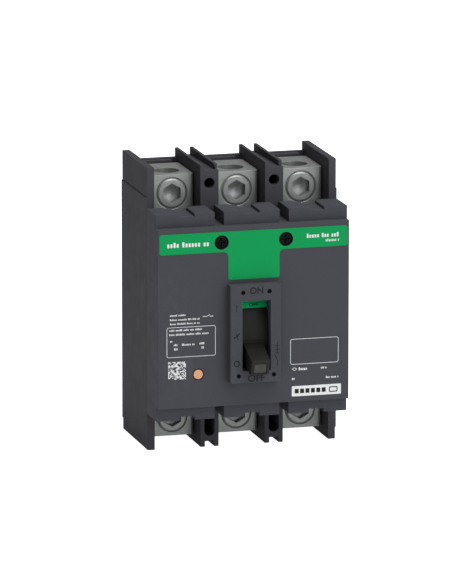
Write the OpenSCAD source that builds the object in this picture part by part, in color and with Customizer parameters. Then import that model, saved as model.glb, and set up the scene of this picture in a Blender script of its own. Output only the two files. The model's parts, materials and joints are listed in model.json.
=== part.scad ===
// Three-pole molded case circuit breaker. Millimetres.
// X runs left to right, the mounting plane is Y = 0, the front faces -Y, and Z runs up to the line side.
// The handle is drawn in its OFF position, so the contacts are open.

/* [Housing] */
// Width of the lower housing
body_w = 114.4; // [114:0.1:116]
// Height of the housing
body_h = 167; // [165:0.5:170]
// Depth from the mounting plane to the joint between base and cover
base_d = 57.4; // [57:0.1:58]
// Depth to the front of the cover's two terminal skirts
skirt_d = 79.2; // [79:0.1:79.6]
// Depth to the front of the cover's main face
face_d = 83.5; // [83.2:0.1:84]
// Depth to the front of the raised frame round the handle
frame_d = 89.7; // [89.4:0.1:90.2]
// Thickness of the two outer side walls of the base
side_wall = 4.9; // [4.5:0.1:5]
// Thickness of the back wall of the base
back_wall = 4; // [3.5:0.1:4]
// Wall thickness of the cover
cover_wall = 3; // [2.6:0.1:3.2]
// Distance between the centres of neighbouring poles
pole_pitch = 38.7; // [38.5:0.1:38.9]
// Width of the pillars between the poles
pillar_w = 11; // [10.8:0.1:11.2]

/* [Mounting] */
// Distance between the left and right mounting holes
mount_pitch = 38.8; // [38.4:0.1:39.2]
// Diameter of the mounting holes
mount_hole_d = 6.2; // [5.8:0.1:6.4]
// Height of the upper mounting holes
mount_top_z = 72.8; // [72:0.1:73.5]
// Height of the round end of the lower mounting slots
mount_low_z = -73.9; // [-74.4:0.1:-73.4]

/* [Terminals] */
// Width of a box lug
lug_w = 26.1; // [25.6:0.1:26.3]
// Height of a box lug
lug_h = 22.4; // [22:0.1:22.6]
// Depth of a box lug
lug_d = 34.3; // [34:0.1:34.6]
// Diameter of the wire bore
wire_bore_d = 15; // [14:0.1:15.4]
// Diameter of the binding screw
binding_d = 18; // [17.6:0.1:18.2]
// Size of the hex socket across its flats
hex_af = 10.3; // [9.5:0.1:10.6]
// Height of the line lug centres
line_z = 65.5; // [65:0.1:66]
// Height of the load lug centres
load_z = -67.2; // [-67.6:0.1:-66.8]

/* [Handle] */
// Height of the handle pivot
pivot_z = -12.65; // [-13:0.05:-12.4]
// Depth of the handle pivot
pivot_d = 46; // [45.8:0.1:46.2]
// Outer radius of the curved shield behind the opening
shield_r = 36.1; // [36:0.1:36.3]
// Distance from the pivot to the tip of the handle
handle_r = 54.7; // [52:0.1:55.5]
// Width of the handle where it meets the shield
handle_w = 12; // [11.6:0.1:12.4]

/* [Contacts] */
// Number of steel plates in each arc chute
plate_count = 7; // [4:1:7]

/* [Hidden] */
$fn = 64;
poles = [-1, 0, 1];
sides = [-1, 1];
eps = 0.01;
half_w = body_w / 2;
half_h = body_h / 2;

// Interior limits in height, between the two cross walls
cross_wall = 4;
room_top = 49.6;
room_low = -49.6;

// Skirt, main face and handle frame outlines
skirt_top = 59.9;
skirt_low = -61.6;
face_top = 52.1;
face_low = -53.5;
cover_w = body_w - 0.1;
frame_w = 30.2;
frame_x = -0.5;
frame_top = 18.3;
frame_low = -39.3;
open_w = 16.8;
pocket_gap = 2.9;
open_top = 8.9;
open_low = -32.3;
groove_w = 9.3;
groove_h = 1.7;
notch_w = 5.5;
notch_top_z = face_top;
notch_low_z = -54.6;
screw_z = 43;
rear_screw_z = -51;
screw_x = 19.2;

// Terminals, measured back from the front
lug_front = 45.5;
lug_back = lug_front - lug_d;
bore_d = 32.5;
lug_r = 2;
screw_len = 5.6;
socket_depth = 4.2;
screw_face_d = lug_front + 0.4;
strap_t = 3;
strap_w = 18;
strap_reach = 8.2;
strap_back = lug_back - strap_t;
bite_r = 9.8;
bolt_r = 2.5;
bolt_head_r = 4.3;
bolt_head_t = 2.2;
bolt_tip_d = lug_back + 6;

// Angle of the handle below its middle position when it is off, and of the arms when they are open
off_angle = 17.5;
open_angle = 30;

// Mechanism pivots, as [y, z]
pivot = [-pivot_d, pivot_z];
bar = [-20, -8];
link_end = bar + [-4.5, 12];
cradle_pivot = [-42, 18];
cradle_eye = [-51.5, 5];
cradle_nose = [-50, -28];
latch_pivot = [-44, -33];
trip_axis = [-46, -43];
hook_r = 29.5;
hook_pin_r = 0.9;
upper_len = 13.5;
lower_len = norm(link_end - cradle_eye) - upper_len + 0.15;

// The mechanism at rest
link_off = turned(link_end, bar, open_angle);
knee = knee_point(cradle_eye, link_off, upper_len, lower_len);
hook = turned(pivot + [-hook_r, 0], pivot, off_angle);

bar_r = 7.5;
fit = 0.05;
frame_plate_x = 13.5;
plate_t = 1.5;
rod_y = -6.6;

// Arc chutes
arc_z = [27, 48.8];
arc_w = 24.2;
plate_gap = 4.6;

// Button and armature places
button_x = -33.25;
button_z = -33.9;
button_r = 2.75;
armature_pivot = [-18, -35.7];

// Turns the point p about the point c by an angle about +X, in [y, z]
function turned(p, c, a) = [
    c.x + (p.x - c.x) * cos(a) - (p.y - c.y) * sin(a),
    c.y + (p.x - c.x) * sin(a) + (p.y - c.y) * cos(a)
];

// The knee of two links, on the lower side of the line from a to b
function knee_point(a, b, la, lb) =
    let (span = norm(b - a))
    let (along = (la * la - lb * lb + span * span) / (2 * span))
    let (off = sqrt(max(0, la * la - along * along)))
    let (u = (b - a) / span)
    a + u * along - [-u.y, u.x] * off;

function pole_x(n) = n * pole_pitch;

// A box from two corners
module block(x, y, z) {
    translate([x[0], y[0], z[0]])
        cube([x[1] - x[0], y[1] - y[0], z[1] - z[0]]);
}

// A box of width w centred on x = 0
module wide(w, y, z) {
    block([-w / 2, w / 2], y, z);
}

// A cylinder along Y from front depth d1 to back depth d2, at x and z
module y_rod(r, d1, d2, x = 0, z = 0, r2 = -1) {
    translate([x, -d1, z])
        rotate([-90, 0, 0])
            cylinder(r1 = r, r2 = r2 < 0 ? r : r2, h = d1 - d2);
}

// A cylinder along X between x1 and x2, at p = [y, z]
module x_rod(r, x1, x2, p) {
    translate([x1, p.x, p.y])
        rotate([0, 90, 0])
            cylinder(r = r, h = x2 - x1);
}

// Carries an outline drawn in [y, z] to a plate between x1 and x2
module x_plate(x1, x2) {
    translate([x1, 0, 0])
        rotate([90, 0, 90])
            linear_extrude(x2 - x1)
                children();
}

// Outline of a link with round ends
module link_outline(a, b, r) {
    d = b - a;
    n = [-d.y, d.x] / norm(d) * r * 0.96;
    polygon([a + n, a - n, b - n, b + n]);
    translate(a) circle(r);
    translate(b) circle(r);
}

// A plate outline with round corners, centred on the origin
module round_outline(w, h, r) {
    square([w - 2 * r, h], center = true);
    square([w, h - 2 * r], center = true);
    for (sx = sides, sy = sides)
        translate([sx * (w / 2 - r), sy * (h / 2 - r)]) circle(r);
}

// A tube along the X axis
module x_tube(r_out, r_in, x1, x2, p) {
    difference() {
        x_rod(r_out, x1, x2, p);
        x_rod(r_in, x1 - 1, x2 + 1, p);
    }
}

// Turns a shape about the X axis through p = [y, z]
module turn_about(p, a) {
    translate([0, p.x, p.y])
        rotate([a, 0, 0])
            translate([0, -p.x, -p.y])
                children();
}

// ---------------------------------------------------------------- base

// Outline of the base seen from the front, with the open wire bays left out
module base_solid() {
    for (s = sides)
        mirror([s < 0 ? 1 : 0, 0, 0])
            block([half_w - side_wall, half_w], [-base_d, 0], [-half_h, half_h]);
    wide(body_w - 1, [-back_wall, 0], [-half_h + 5.8, half_h - 5.3]);
    // Cross walls between the wire bays and the inside
    wide(body_w - 1, [-base_d, -eps], [room_top, room_top + cross_wall]);
    wide(body_w - 1, [-base_d, -eps], [room_low - cross_wall, room_low]);
    for (s = sides) {
        // Pillars at the top and bottom, and the wall between poles
        block(pillar_span(s), [-base_d, 0], [room_top + 1, half_h]);
        block(pillar_span(s), [-base_d, 0], [-half_h, room_low - 1]);
        block([s * mount_pitch / 2 - 1.5, s * mount_pitch / 2 + 1.5], [-base_d, -eps],
              [room_low - 1, room_top + 1]);
        // Screw bosses
        y_rod(3.8, base_d, 30, s * screw_x, screw_z);
        y_rod(3.8, base_d, eps, s * screw_x, rear_screw_z);
    }
    for (n = poles) {
        // Seats that carry the conductors
        translate([pole_x(n), 0, 0]) {
            wide(strap_w + 2, [-strap_back, -1], [room_top + 2, half_h - 5.8]);
            wide(strap_w + 2, [-strap_back, -1], [-half_h + 5.8, room_low - 2]);
        }
    }
    // Bridge that guides the trip button
    block([-mount_pitch / 2 - 17.5, -mount_pitch / 2], [-base_d, -base_d + 2.4],
          [button_z - 4, button_z + 4]);
}

function pillar_span(s) = [s * mount_pitch / 2 - pillar_w / 2, s * mount_pitch / 2 + pillar_w / 2];

module base_housing() {
    color("#3d3d40")
    difference() {
        base_solid();
        for (s = sides) {
            px = s * mount_pitch / 2;
            // Shallow step in the outer faces next to each end
            for (e = sides)
                translate([s * (half_w - 0.55), -base_d / 2, e < 0 ? -half_h + 3 : half_h - 8.7])
                    translate([s * 1, 0, 0]) cube([2, base_d + 2, e < 0 ? 8 : 17.6], center = true);
            // Mounting holes and slots
            y_rod(mount_hole_d / 2, base_d + 1, -1, px, mount_top_z);
            y_rod(mount_hole_d / 2, base_d + 1, -1, px, mount_low_z);
            block([px - mount_hole_d / 2 * 0.98, px + mount_hole_d / 2 * 0.98], [-base_d - 1, 1],
                  [mount_low_z, skirt_low + 2]);
            // Channel along the top of the pillar, with a sloping floor
            x_plate(px - pillar_w / 2 + 2, px + pillar_w / 2 - 2)
                polygon([[-base_d - 1, 80.4], [1, 79], [1, half_h + 1], [-base_d - 1, half_h + 1]]);
            block([px + pillar_w / 2 - 3, px + pillar_w / 2 + 1], [-base_d - 1, -base_d + 3.2],
                  [80.4, half_h + 1]);
            // Notch under the lower pillar
            block([px - 2.75, px + 2.75], [-base_d - 1, 1], [-half_h - 1, -half_h + 3.3]);
            // Clearance for the crossbar and the trip bar through the wall between poles
            x_rod(bar_r + 0.8, px - 3, px + 3, bar);
            block([px - 3, px + 3], [-base_d - 1, bar.x], [bar.y - bar_r - 0.7, bar.y + bar_r + 0.7]);
            x_rod(4, px - 3, px + 3, trip_axis);
            block([px - 3, px + 3], [-base_d - 1, trip_axis.x], [trip_axis.y - 3.9, trip_axis.y + 3.9]);
            // Screw holes
            y_rod(2.05, base_d + 1, 32, s * screw_x, screw_z);
            y_rod(2.05, base_d + 1, -1, s * screw_x, rear_screw_z);
            y_rod(2.05, 2.4, -0.1, s * screw_x, rear_screw_z, 4.2);
        }
        for (n = poles)
            translate([pole_x(n), 0, 0]) {
                // Slots for the conductors through the cross walls
                wide(strap_w + 0.6, [-lug_back - 0.4, -strap_back + 0.2], [room_top - 1, room_top + 5]);
                wide(strap_w + 0.6, [-lug_back - 0.4, -strap_back + 0.2], [room_low - 5, room_low + 1]);
                // Pockets for the heads of the lug bolts
                for (z = [line_z, load_z])
                    y_rod(bolt_head_r + 0.5, strap_back + 0.2, strap_back - bolt_head_t - 0.6, 0, z);
            }
        // Guide hole of the trip button
        y_rod(1.75, base_d + 1, base_d - 4, button_x, button_z);
    }
}

// ---------------------------------------------------------------- cover

module cover_solid() {
    wide(cover_w, [-skirt_d, -base_d], [skirt_low, skirt_top]);
    wide(cover_w, [-face_d, -skirt_d + 1], [face_low, face_top]);
    translate([frame_x, 0, 0])
        wide(frame_w, [-frame_d, -face_d + 1], [frame_low, frame_top]);
}

module cover_hollow() {
    difference() {
        wide(cover_w - 2 * cover_wall, [-face_d + cover_wall, -base_d + 1],
             [face_low + cover_wall, face_top - cover_wall]);
        for (s = sides) {
            px = s * mount_pitch / 2;
            // Walls between the poles, with the screw bosses
            block([px - 1.5, px + 1.5], [-face_d, -base_d + 2], [skirt_low, skirt_top]);
            y_rod(5.8, face_d, base_d - 2, s * screw_x, screw_z);
            y_rod(3.8, face_d, base_d - 2, s * screw_x, rear_screw_z);
        }
    }
}

module front_cover() {
    color("#46474c")
    difference() {
        cover_solid();
        cover_hollow();
        // Handle opening and the pocket that the curved shield turns in
        block([-open_w / 2, open_w / 2], [-frame_d - 1, -face_d + cover_wall + 1], [open_low, open_top]);
        x_rod(shield_r + pocket_gap, -11, 11, pivot);
        for (s = sides) {
            px = s * mount_pitch / 2;
            // Tool channels over the pillars
            block([px - notch_w / 2, px + notch_w / 2], [-skirt_d - 1, -base_d + 1],
                  [notch_top_z, skirt_top + 1]);
            block([px - notch_w / 2, px + notch_w / 2], [-skirt_d - 1, -base_d + 1],
                  [skirt_low - 1, notch_low_z]);
            // Countersinks and holes of the cover screws
            y_rod(4.25, face_d + 1, face_d - 3.6, s * screw_x, screw_z);
            y_rod(2.05, face_d - 3, base_d - 1, s * screw_x, screw_z);
            y_rod(2.05, base_d + 11.2, base_d - 1, s * screw_x, rear_screw_z);
        }
        for (n = poles)
            translate([pole_x(n), 0, 0]) {
                // Grooves along the skirts, and bites that clear the binding screws
                wide(groove_w, [-skirt_d - 1, -base_d + 1], [skirt_top - groove_h, skirt_top + 1]);
                wide(groove_w, [-skirt_d - 1, -base_d + 1], [skirt_low - 1, skirt_low + 2.2]);
                y_rod(bite_r, base_d + 2.6, base_d - 1, 0, line_z);
                y_rod(bite_r, base_d + 2.6, base_d - 1, 0, load_z);
            }
        // Hole of the trip button
        y_rod(button_r + 0.15, face_d + 1, face_d - 5, button_x, button_z);
        // Small round holes in the handle frame
        for (p = [[-8, 14], [7.7, 14.1], [-10.6, -35.1], [10.4, -35.1]])
            y_rod(1.3, frame_d + 1, frame_d - 3, p.x, p.y);
    }
}

// The T-shaped colour label: a band with a stem, 0.25 thick
module face_label() {
    band = [37.3, 49.2];
    stem_w = 30.5;
    stem_low = 20.8;
    fillet = 3;
    color("#12a15b")
    translate([0, -face_d, 0])
        rotate([90, 0, 0])
            linear_extrude(0.25)
                difference() {
                    union() {
                        translate([0, (band[0] + band[1]) / 2])
                            round_outline(112.5, band[1] - band[0], 1.6);
                        translate([0, (band[0] + stem_low) / 2 + 2])
                            round_outline(stem_w, band[0] - stem_low + 4, 1);
                        for (s = sides)
                            translate([s * stem_w / 2 + (s < 0 ? -fillet : 0), band[0] - fillet])
                                square([fillet, fillet + 1]);
                    }
                    for (s = sides) {
                        translate([s * (stem_w / 2 + fillet), band[0] - fillet]) circle(fillet);
                        translate([s * screw_x, screw_z]) circle(4.25);
                    }
                }
}

// ---------------------------------------------------------------- fasteners

// A cross-recess screw along Y: head front depth, tip depth
module cross_screw(head_d, tip_d, head_r, head_t, x, z) {
    difference() {
        union() {
            y_rod(head_r, head_d, head_d - head_t, x, z);
            y_rod(2, head_d - head_t + eps, tip_d, x, z);
        }
        for (a = [0, 90])
            translate([x, -head_d, z])
                rotate([0, a, 0])
                    cube([4.6, 2.4, 1.1], center = true);
    }
}

module cover_screws() {
    color("#1d1d20")
    for (s = sides)
        cross_screw(face_d - 1.2, 34, 3.9, 2.4, s * screw_x, screw_z);
}

module rear_screws() {
    color("#8d8f92")
    for (s = sides)
        difference() {
            union() {
                y_rod(2, base_d + 10, 0.2, s * screw_x, rear_screw_z);
                y_rod(2, 2.2, 0.2, s * screw_x, rear_screw_z, 3.9);
            }
            for (a = [45, 135])
                translate([s * screw_x, -0.2, rear_screw_z])
                    rotate([0, a, 0])
                        cube([4, 2, 0.9], center = true);
        }
}

// ---------------------------------------------------------------- terminals

module box_lug(x, z) {
    color("#8b8d8a")
    difference() {
        translate([x, -(lug_front + lug_back) / 2, z - lug_h / 2])
            linear_extrude(lug_h)
                round_outline(lug_w, lug_d, lug_r);
        // Wire bore
        translate([x, -bore_d, z - lug_h / 2 - 1])
            cylinder(d = wire_bore_d, h = lug_h + 2);
        // Hole of the binding screw, down into the front of the wire bore, with a chamfered mouth
        y_rod(binding_d / 2 + fit, lug_front + 1, bore_d + 0.2, x, z);
        y_rod(binding_d / 2 + 1.4, lug_front + 1, lug_front - 0.45, x, z, binding_d / 2);
        // Blind hole of the bolt that holds the lug from behind
        y_rod(bolt_r + fit, bolt_tip_d + 0.3, lug_back - 1, x, z);
    }
}

module binding_screw(x, z) {
    r = binding_d / 2;
    color("#8b8d8a")
    difference() {
        union() {
            y_rod(r - 1.1, screw_face_d, screw_face_d - 1.1, x, z, r);
            y_rod(r, screw_face_d - 1.1 + eps, screw_face_d - screw_len, x, z);
        }
        // Hex socket with two corners on the vertical
        translate([x, -screw_face_d - 1, z])
            rotate([-90, 30, 0])
                cylinder(d = hex_af / cos(30), h = socket_depth + 1, $fn = 6);
        y_rod(hex_af / 2 * 0.96, screw_face_d - socket_depth + 0.1, screw_face_d - socket_depth - 0.9, x, z, 1);
    }
}

// Bolts put in from behind the conductors, up into the backs of the lugs
module lug_bolts() {
    color("#9a9c9e")
    for (n = poles, z = [line_z, load_z])
        difference() {
            union() {
                y_rod(bolt_head_r, strap_back, strap_back - bolt_head_t, pole_x(n), z);
                y_rod(bolt_r, bolt_tip_d, strap_back - eps, pole_x(n), z);
            }
            translate([pole_x(n), -strap_back + bolt_head_t + 1, z])
                rotate([90, 0, 0])
                    cylinder(d = 4.6, h = 2.4, $fn = 6);
        }
}

// ---------------------------------------------------------------- conductors

module line_conductor(x) {
    color("#b87333")
    difference() {
        translate([x, 0, 0])
            wide(strap_w, [-lug_back, -strap_back], [24, line_z + strap_reach]);
        y_rod(bolt_r + fit, lug_back + 1, strap_back - 1, x, line_z);
    }
}

module fixed_contacts() {
    color("silver")
    for (n = poles)
        y_rod(3.4, lug_back + 2.5, lug_back, pole_x(n), 30.5);
}

module load_conductor(x) {
    color("#b87333")
    difference() {
        translate([x, 0, 0])
            wide(strap_w, [-lug_back, -strap_back], [load_z - strap_reach, -34.5]);
        y_rod(bolt_r + fit, lug_back + 1, strap_back - 1, x, load_z);
    }
}

module flexible_braids() {
    color("#c07a3c")
    for (n = poles)
        x_plate(pole_x(n) - 3, pole_x(n) + 3)
            polygon([[-14.6, -34.4], [-15.2, -30], [-12.6, -25.6], [-12.9, -21.8], [-10.9, -21.4],
                     [-10.4, -26.2], [-13, -30.4], [-12.4, -34], [-lug_back, -36], [-lug_back, -38.4],
                     [-12.9, -38]]);
}

// ---------------------------------------------------------------- arc chutes

module arc_plates(x) {
    color("#9b9ea1")
    for (i = [0 : plate_count - 1])
        translate([x, -17.6 - i * plate_gap, 0])
            difference() {
                wide(arc_w, [-0.7, 0.7], arc_z);
                wide(10.4, [-2, 2], [arc_z[0] - 1, 38.6]);
                translate([0, -2, 38.6]) rotate([-90, 0, 0]) cylinder(r = 5.1, h = 4);
            }
}

module arc_walls() {
    color("#c9b48a")
    for (n = poles, s = sides)
        translate([pole_x(n) + s * (arc_w / 2 + 0.55), 0, 0])
            wide(1, [-47.6, -14.6], [arc_z[0] - 0.8, arc_z[1] + 0.4]);
}

// ---------------------------------------------------------------- mechanism frame

module mechanism_frame(s) {
    color("#a5a8ab")
    difference() {
        union() {
            x_plate(s < 0 ? -frame_plate_x - plate_t : frame_plate_x,
                    s < 0 ? -frame_plate_x : frame_plate_x + plate_t)
                polygon([[-back_wall, -37], [-back_wall, 22], [-46, 22], [-49, 12], [-53, 0],
                         [-53, -22], [-50, -37]]);
            // Stud that carries the handle yoke
            x_rod(2.5, s < 0 ? -frame_plate_x - 0.5 : 10.9, s < 0 ? -10.9 : frame_plate_x + 0.5, pivot);
            // Foot against the back wall
            x1 = s < 0 ? -frame_plate_x : frame_plate_x - 5;
            block([x1, x1 + 5], [-back_wall - plate_t, -back_wall], [-34, -16]);
        }
        x_rod(bar_r + fit, -30, 30, bar);
        for (p = [cradle_pivot, latch_pivot])
            x_rod(2.05, -30, 30, p);
        for (z = [19, -28])
            x_rod(2.03, -30, 30, [rod_y, z]);
    }
}

module frame_rods() {
    color("#b5b8ba")
    for (z = [19, -28])
        x_rod(2, -frame_plate_x - 2.2, frame_plate_x + 2.2, [rod_y, z]);
}

// ---------------------------------------------------------------- handle

// Outline of a band round the pivot between two radii, over an angle each side of the handle
module arc_band(r_in, r_out, a1, a2) {
    reach = r_out * 3;
    mid = (a1 + a2) / 2;
    translate(pivot)
        difference() {
            circle(r_out, $fn = 128);
            circle(r_in, $fn = 128);
            for (a = [a1, a2]) {
                d = a < mid ? 1 : -1;
                polygon([[0, 0], [-cos(a), sin(a)] * reach,
                         [-cos(a), sin(a)] * reach - d * [sin(a), cos(a)] * reach,
                         [cos(a), -sin(a)] * reach - d * [sin(a), cos(a)] * reach,
                         [cos(a), -sin(a)] * reach]);
            }
        }
}

module toggle_handle() {
    root_h = 6.1;
    tip_h = 4.7;
    tip_w = handle_w - 1;
    root_r = 34.8;
    color("#232323")
    turn_about(pivot, off_angle)
        difference() {
            union() {
                // Curved shield and the web behind it
                x_plate(-10.2, 10.2) arc_band(shield_r - 1.5, shield_r, -57.5, 57.5);
                x_plate(-handle_w / 2, handle_w / 2)
                    translate(pivot)
                        polygon([[-33, -root_h], [-33, root_h], [-35, root_h], [-35, -root_h]]);
                // Grip, narrower towards its tip both ways
                intersection() {
                    x_plate(-handle_w / 2, handle_w / 2)
                        translate(pivot)
                            polygon([[-root_r, -root_h], [-root_r, root_h], [-handle_r + 0.8, tip_h],
                                     [-handle_r, tip_h - 0.8], [-handle_r, -tip_h + 0.8],
                                     [-handle_r + 0.8, -tip_h]]);
                    translate([0, pivot.x, pivot.y - root_h - 1])
                        linear_extrude(2 * root_h + 2)
                            polygon([[-handle_w / 2, -root_r + 1], [handle_w / 2, -root_r + 1],
                                     [tip_w / 2, -handle_r + 0.7], [tip_w / 2 - 0.7, -handle_r - eps],
                                     [-tip_w / 2 + 0.7, -handle_r - eps], [-tip_w / 2, -handle_r + 0.7]]);
                }
            }
            // Recessed panel in the tip
            translate([0, pivot.x - handle_r, pivot.y - 0.4])
                cube([tip_w - 3.6, 1.2, 5.8], center = true);
        }
}

module off_flag() {
    color("#12a15b")
    turn_about(pivot, off_angle)
        x_plate(-10, 10) arc_band(shield_r + 0.02, shield_r + 0.3, 42.3, 57.3);
}

module handle_yoke() {
    color("#a5a8ab")
    turn_about(pivot, off_angle) {
        // Pin that the toggle springs hook on
        x_rod(hook_pin_r, -11.3, 11.3, pivot + [-hook_r, 0]);
        for (s = sides)
            union() {
                difference() {
                    x_plate(s < 0 ? -12.7 : 11.2, s < 0 ? -11.2 : 12.7)
                        union() {
                            link_outline(pivot, pivot + [-28, 0], 5);
                            translate(pivot + [-33, -5]) square([6, 10]);
                        }
                    x_rod(2.5 + fit, -20, 20, pivot);
                }
                // Cross-piece, drawn as two halves that meet
                block(s < 0 ? [-11.3, 0.01] : [-0.01, 11.3], [pivot.x - 33, pivot.x - 31.4],
                      [pivot.y - 5, pivot.y + 5]);
            }
    }
}

// Two tension springs from the yoke to the knee pin, each a sleeve of the coil's outer size
module toggle_springs() {
    d = knee - hook;
    a = atan2(d.y, d.x);
    color("#c2c5c8")
    for (s = sides)
        translate([s * 8, hook.x, hook.y])
            rotate([a, 0, 0])
                rotate([-90, 0, 0])
                    translate([0, 0, 1.2])
                        difference() {
                            cylinder(r = 2.4, h = norm(d) - 3.4);
                            translate([0, 0, -1]) cylinder(r = 1.5, h = norm(d));
                        }
}

// ---------------------------------------------------------------- cradle and links

module cradle() {
    color("#8f9295")
    union() {
        x_plate(-1.5, 1.5)
            difference() {
                union() {
                    link_outline(cradle_pivot, cradle_eye, 3.2);
                    link_outline(cradle_eye, cradle_nose + [-3, 10], 3.4);
                    link_outline(cradle_nose + [-3, 10], cradle_nose, 2.8);
                }
                translate(cradle_eye) circle(1.6);
            }
        x_rod(2, -frame_plate_x - 2, frame_plate_x + 2, cradle_pivot);
    }
}

module upper_link() {
    color("#9da0a3")
    for (s = sides)
        difference() {
            union() {
                x_plate(s < 0 ? -3.3 : 1.9, s < 0 ? -1.9 : 3.3)
                    link_outline(cradle_eye, knee, 3);
                // Stub that stays out of the cradle's eye
                x_rod(1.5, s < 0 ? -4.2 : 3.2, s < 0 ? -3.2 : 4.2, cradle_eye);
            }
            x_rod(1.55, -10, 10, knee);
        }
}

module knee_pin() {
    color("#b5b8ba")
    x_rod(1.5, -10.4, 10.4, knee);
}

module lower_link() {
    color("#8f9295")
    for (s = sides)
        x_plate(s < 0 ? -5 : 3.6, s < 0 ? -3.6 : 5)
            difference() {
                union() {
                    link_outline(knee, link_off, 3);
                    translate(link_off) circle(5.1);
                }
                translate(knee) circle(1.55);
                translate(link_off) circle(3.75);
            }
}

// ---------------------------------------------------------------- crossbar and arms

// The moving parts of the contacts are drawn closed, then turned open
module crossbar() {
    color("#5b4636")
    turn_about(bar, open_angle)
        difference() {
            union() {
                x_rod(bar_r, -pole_pitch - 12.6, pole_pitch + 12.6, bar);
                for (n = poles, s = sides) {
                    x1 = pole_x(n) + (s < 0 ? -7.6 : 5.6);
                    x_plate(x1, x1 + 2) link_outline(bar, link_end, 4.4);
                }
                x_rod(1.2, -6, 6, link_end);
            }
            for (n = poles) {
                block([pole_x(n) - 5.6, pole_x(n) + 5.6], [bar.x - 5, bar.x + 12], [bar.y - 12, bar.y + 10]);
                block([pole_x(n) - 5.6, pole_x(n) + 5.6], [bar.x - 12, bar.x + 12],
                      [bar.y + 2.5, bar.y + 9.2]);
                x_rod(2, pole_x(n) - 7.7, pole_x(n) + 7.7, bar);
            }
        }
}

module arm_pins() {
    color("#b5b8ba")
    for (n = poles)
        x_rod(2, pole_x(n) - 7.6, pole_x(n) + 7.6, bar);
}

module contact_springs() {
    color("#c2c5c8")
    for (n = poles, s = sides) {
        x1 = pole_x(n) + (s < 0 ? -5.3 : 3.4);
        x_tube(3.3, 2.1, x1, x1 + 1.9, bar);
    }
}

module contact_arm(x) {
    color("#b87333")
    turn_about(bar, open_angle) {
        difference() {
            union() {
                translate([x, 0, 0]) wide(6, [-21, -17], [-20, 35.4]);
                x_rod(4.4, x - 3, x + 3, bar);
                y_rod(3, 17.5, 14.1, x, 30.5);
            }
            x_rod(2 + fit, x - 4, x + 4, bar);
        }
    }
}

// ---------------------------------------------------------------- trip unit

module latch() {
    color("#8f9295")
    union() {
        x_plate(-4, 4)
            polygon([[-52.5, -31.3], [-51.5, -33.6], [-45, -36], [-42, -34.6], [-42, -32],
                     [-45, -30.4], [-47, -31.6]]);
        x_rod(2, -frame_plate_x - 2, frame_plate_x + 2, latch_pivot);
    }
}

module trip_bar() {
    color("#2d2f36")
    difference() {
        union() {
            x_rod(3.5, -pole_pitch - 12.6, pole_pitch + 12.6, trip_axis);
            for (n = poles)
                translate([pole_x(n), 0, 0])
                    wide(17, [trip_axis.x + 2, -37.4], [-44.3, -42.9]);
            // Finger that the button pushes
            block([button_x - 2.6, button_x + 2.6], [-48, -46.6], [trip_axis.y + 2, button_z + 2.4]);
        }
        for (n = poles)
            translate([pole_x(n), -39.6, -46]) cylinder(r = 1.25, h = 5);
    }
}

module calibration_screws() {
    color("#b9a046")
    for (n = poles)
        translate([pole_x(n), -39.6, -46.4]) cylinder(r = 1.2, h = 4.2);
}

module trip_bar_spring() {
    color("#c2c5c8")
    x_tube(4.7, 3.6, 24.5, 30, trip_axis);
}

module bimetals() {
    color("#b0a890")
    for (n = poles)
        translate([pole_x(n), 0, 0])
            union() {
                wide(9, [-12.6, -lug_back], [-47, -40.1]);
                wide(9, [-42, -11.8], [-41.3, -40.1]);
            }
}

module magnet_yokes() {
    color("#8a8d90")
    for (n = poles)
        translate([pole_x(n), 0, 0])
            difference() {
                union() {
                    wide(15, [-32, -16], [-48, -46.4]);
                    for (s = sides) {
                        x1 = s < 0 ? -7.5 : 6;
                        block([x1, x1 + 1.5], [-32, -16], [-46.5, -38.6]);
                        block([x1, x1 + 1.5], [-20.2, -16], [-38.7, -33.6]);
                    }
                }
                x_rod(0.85, -10, 10, armature_pivot);
            }
}

module armature(x) {
    color("#8a8d90")
    union() {
        translate([x, 0, 0]) {
            wide(11.4, [-36, -17.2], [-36.6, -34.8]);
            wide(15, [-36, -21.4], [-36.6, -34.8]);
            for (s = sides)
                block(s < 0 ? [-7.5, -5.4] : [5.4, 7.5], [-40.6, -35.9], [-36.6, -34.8]);
            for (s = sides)
                block(s < 0 ? [-7.5, -5.4] : [5.4, 7.5], [-40.6, -39.2], [-40.4, -36.5]);
        }
        x_rod(0.8, x - 8, x + 8, armature_pivot);
    }
}

module armature_springs() {
    color("#c2c5c8")
    for (n = poles)
        x_tube(1.5, 0.9, pole_x(n) + 7.7, pole_x(n) + 9.6, armature_pivot);
}

// ---------------------------------------------------------------- push to trip

module trip_button() {
    color("#f2b27c")
    union() {
        y_rod(button_r, face_d + 0.3, face_d - 3.2, button_x, button_z);
        y_rod(3.7, face_d - 3.1, face_d - 4.5, button_x, button_z);
        y_rod(1.6, face_d - 4, 48.4, button_x, button_z);
    }
}

module button_spring() {
    color("#c2c5c8")
    difference() {
        y_rod(3.1, face_d - 4.6, base_d + 0.1, button_x, button_z);
        y_rod(2.3, face_d, base_d - 1, button_x, button_z);
    }
}

base_housing();
front_cover();
face_label();
cover_screws();
rear_screws();
box_lug(pole_x(-1), line_z);  // line_lug_1
box_lug(pole_x(0), line_z);  // line_lug_2
box_lug(pole_x(1), line_z);  // line_lug_3
box_lug(pole_x(-1), load_z);  // load_lug_1
box_lug(pole_x(0), load_z);  // load_lug_2
box_lug(pole_x(1), load_z);  // load_lug_3
binding_screw(pole_x(-1), line_z);  // line_screw_1
binding_screw(pole_x(0), line_z);  // line_screw_2
binding_screw(pole_x(1), line_z);  // line_screw_3
binding_screw(pole_x(-1), load_z);  // load_screw_1
binding_screw(pole_x(0), load_z);  // load_screw_2
binding_screw(pole_x(1), load_z);  // load_screw_3
lug_bolts();
line_conductor(pole_x(-1));  // line_conductor_1
line_conductor(pole_x(0));  // line_conductor_2
line_conductor(pole_x(1));  // line_conductor_3
fixed_contacts();
load_conductor(pole_x(-1));  // load_conductor_1
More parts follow.
